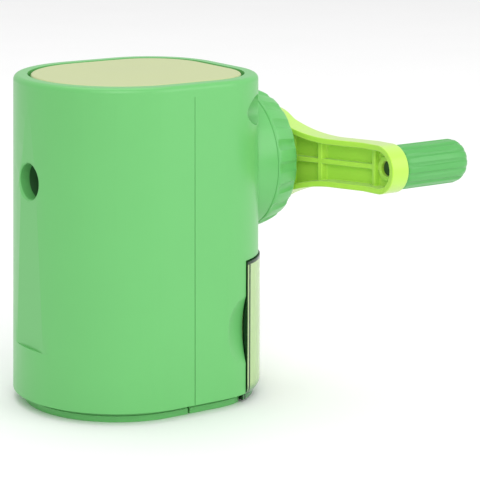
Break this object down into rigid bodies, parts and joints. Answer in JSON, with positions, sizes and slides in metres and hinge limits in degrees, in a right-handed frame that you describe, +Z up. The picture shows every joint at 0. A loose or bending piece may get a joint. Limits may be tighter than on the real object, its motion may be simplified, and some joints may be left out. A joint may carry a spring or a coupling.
{
  "type": "pencil sharpener",
  "caption": "Hand-crank desktop pencil sharpener: oval two-part plastic body, helical cutter in a planetary gear, crank with a turning knob, rear shavings drawer.",
  "frame": {"origin": "on the plane that the sharpener stands on, under the middle of the body", "axes": "+X to the rear, along the crank and pencil axis; -X to the pencil hole; +Z up; the crank arm rests towards -Y"},
  "size_m": [0.1201, 0.0823, 0.0947],
  "materials": {
    "body_green": "moulded ABS, satin gloss, mid green",
    "lime_plastic": "moulded ABS, satin gloss, lime",
    "lid_plastic": "moulded ABS, pale lime, fine satin",
    "drawer_clear": "translucent tinted styrene, polished",
    "guide_plastic": "moulded acetal, dark green",
    "gear_plastic": "moulded acetal, natural white",
    "carrier_zinc": "die-cast zinc alloy, as cast",
    "cutter_steel": "ground tool steel",
    "fastener_steel": "zinc-plated steel",
    "foot_rubber": "moulded rubber, matt"
  },
  "bodies": {
    "body": {"front_shell": "body_green", "rear_shell": "body_green", "top_lid": "lid_plastic", "pencil_guide": "guide_plastic", "base_ring": "foot_rubber", "shell_screws": "fastener_steel"},
    "housing": {"gear_housing": "body_green", "ring_gear": "gear_plastic"},
    "crank": {"cutter_carrier": "carrier_zinc", "drive_shaft": "fastener_steel", "thrust_washer": "gear_plastic", "cutter_pin": "fastener_steel", "cutter_washers": "fastener_steel", "crank_arm": "lime_plastic", "crank_screw": "fastener_steel", "crank_washer": "fastener_steel", "knob_pin": "fastener_steel"},
    "cutter": {"helical_cutter": "cutter_steel", "pinion_gear": "fastener_steel"},
    "grip": {"knob": "body_green"},
    "tray": {"drawer": "drawer_clear"}
  },
  "joints": [
    {"name": "housing_twist", "type": "hinge", "parent": "body", "child": "housing", "pos_m": [0.037, 0, 0.0665], "axis": [1, 0, 0], "range_deg": [0, 45]},
    {"name": "crank_turn", "type": "hinge", "parent": "housing", "child": "crank", "pos_m": [0.043, 0, 0.0665], "axis": [1, 0, 0], "continuous": true},
    {"name": "cutter_spin", "type": "hinge", "parent": "crank", "child": "cutter", "pos_m": [0.025, 0, 0.07261], "axis": [0.9816, 0, -0.1908], "continuous": true},
    {"name": "knob_spin", "type": "hinge", "parent": "crank", "child": "grip", "pos_m": [0.072, -0.04448, 0.0679], "axis": [1, 0, 0], "continuous": true},
    {"name": "drawer_slide", "type": "slide", "parent": "body", "child": "tray", "axis": [1, 0, 0], "range_m": [0, 0.0145]}
  ],
  "couplings": [
    {"joint": "cutter_spin", "follows": "crank_turn", "ratio": -1.8}
  ]
}
